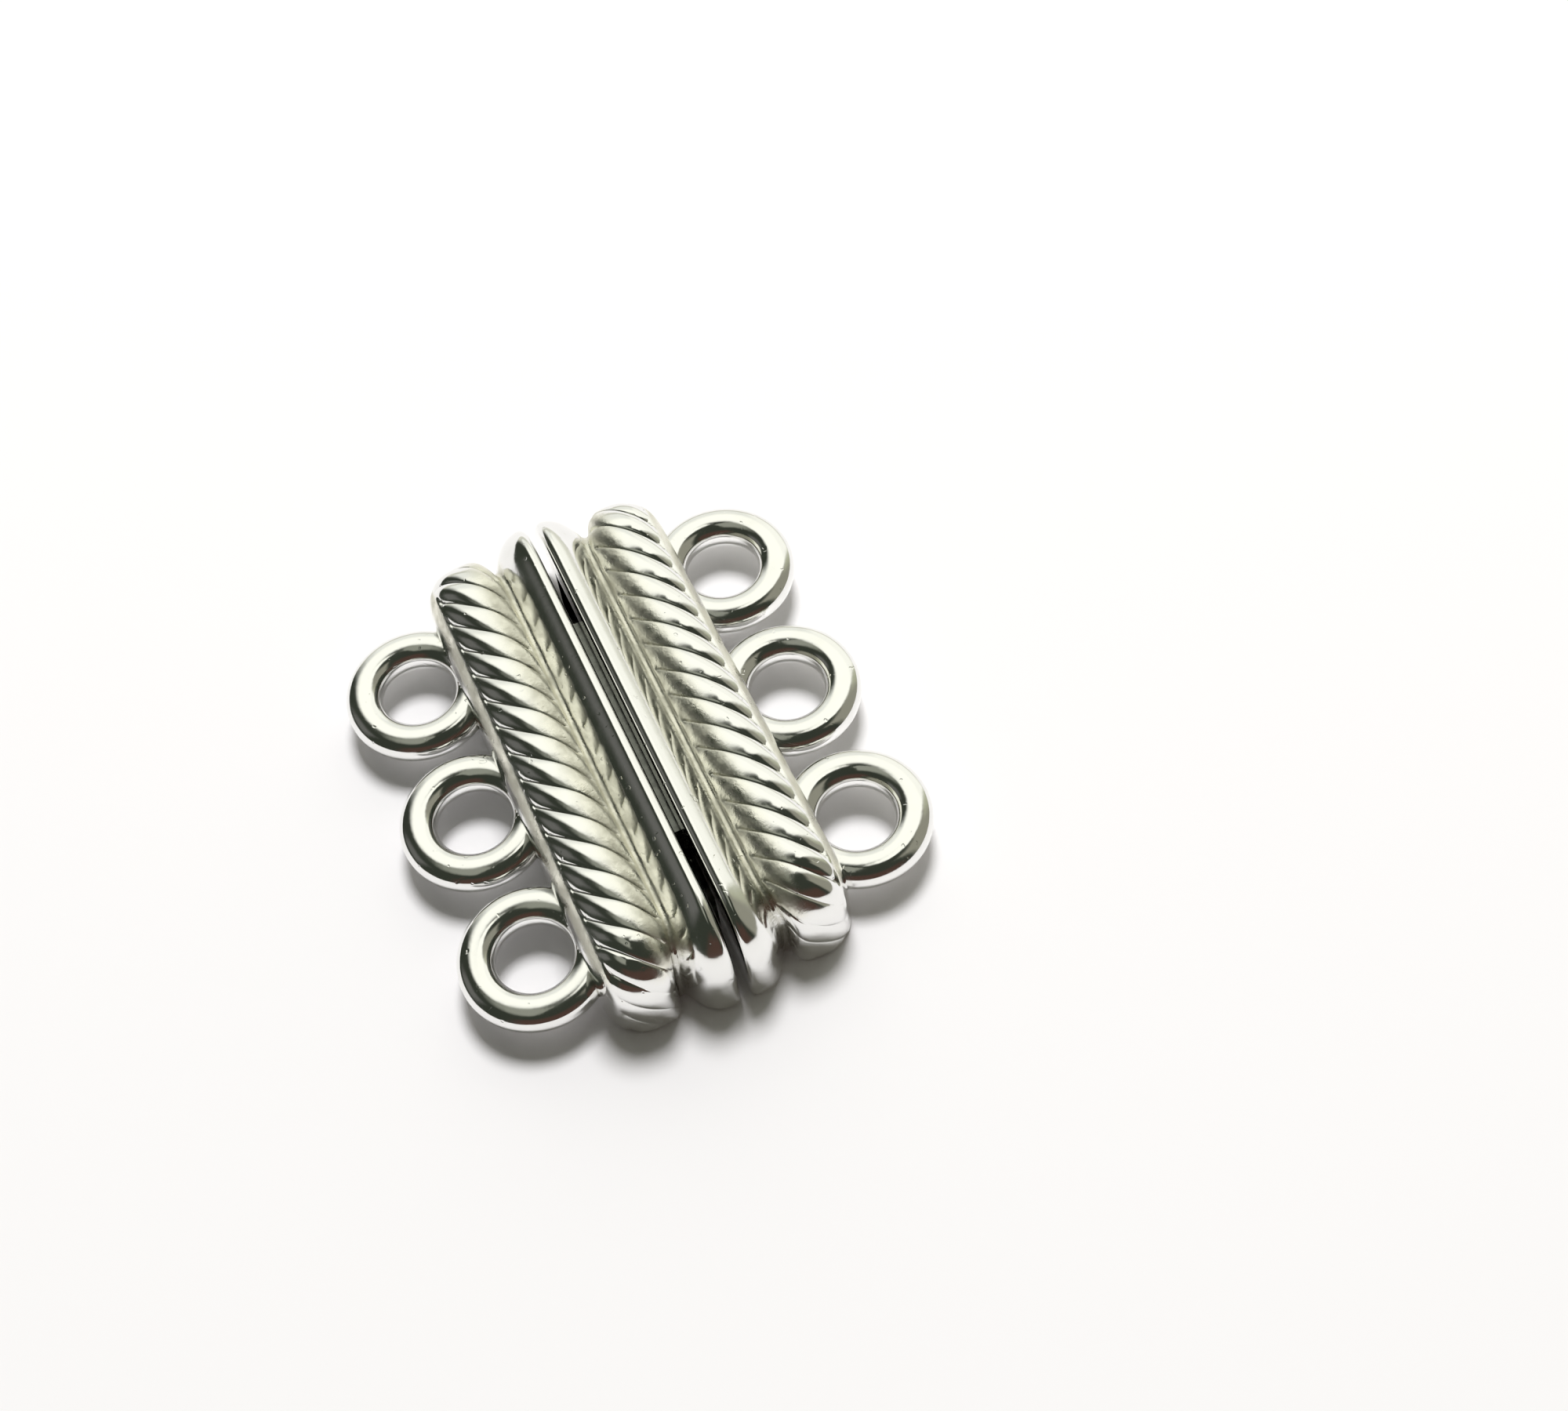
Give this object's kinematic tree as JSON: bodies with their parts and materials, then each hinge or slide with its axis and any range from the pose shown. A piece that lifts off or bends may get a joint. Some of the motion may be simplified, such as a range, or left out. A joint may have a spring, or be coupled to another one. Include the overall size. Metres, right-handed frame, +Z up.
{
  "type": "three-strand magnetic loop clasp",
  "caption": "Two rope-ribbed cast bars with smooth rails that close face to face on strip magnets, with a row of loops along each outer side.",
  "frame": {"origin": "centre of the closed clasp on the surface it lies on", "axes": "+X from the left loop row to the right loop row, +Y along the bars, +Z up from the flat underside"},
  "size_m": [0.0148, 0.0168, 0.0037],
  "materials": {
    "plated_cast_alloy": "bright rhodium-coloured plating over a zinc alloy casting",
    "nickel_plated_magnet": "smooth nickel plating over a strip magnet"
  },
  "bodies": {
    "left_half": {"left_half": "plated_cast_alloy", "left_magnet": "nickel_plated_magnet"},
    "right_half": {"right_half": "plated_cast_alloy", "right_magnet": "nickel_plated_magnet"}
  },
  "joints": [
    {"name": "pull_apart", "type": "slide", "parent": "left_half", "child": "right_half", "axis": [1, 0, 0], "range_m": [0, 0.015]}
  ]
}
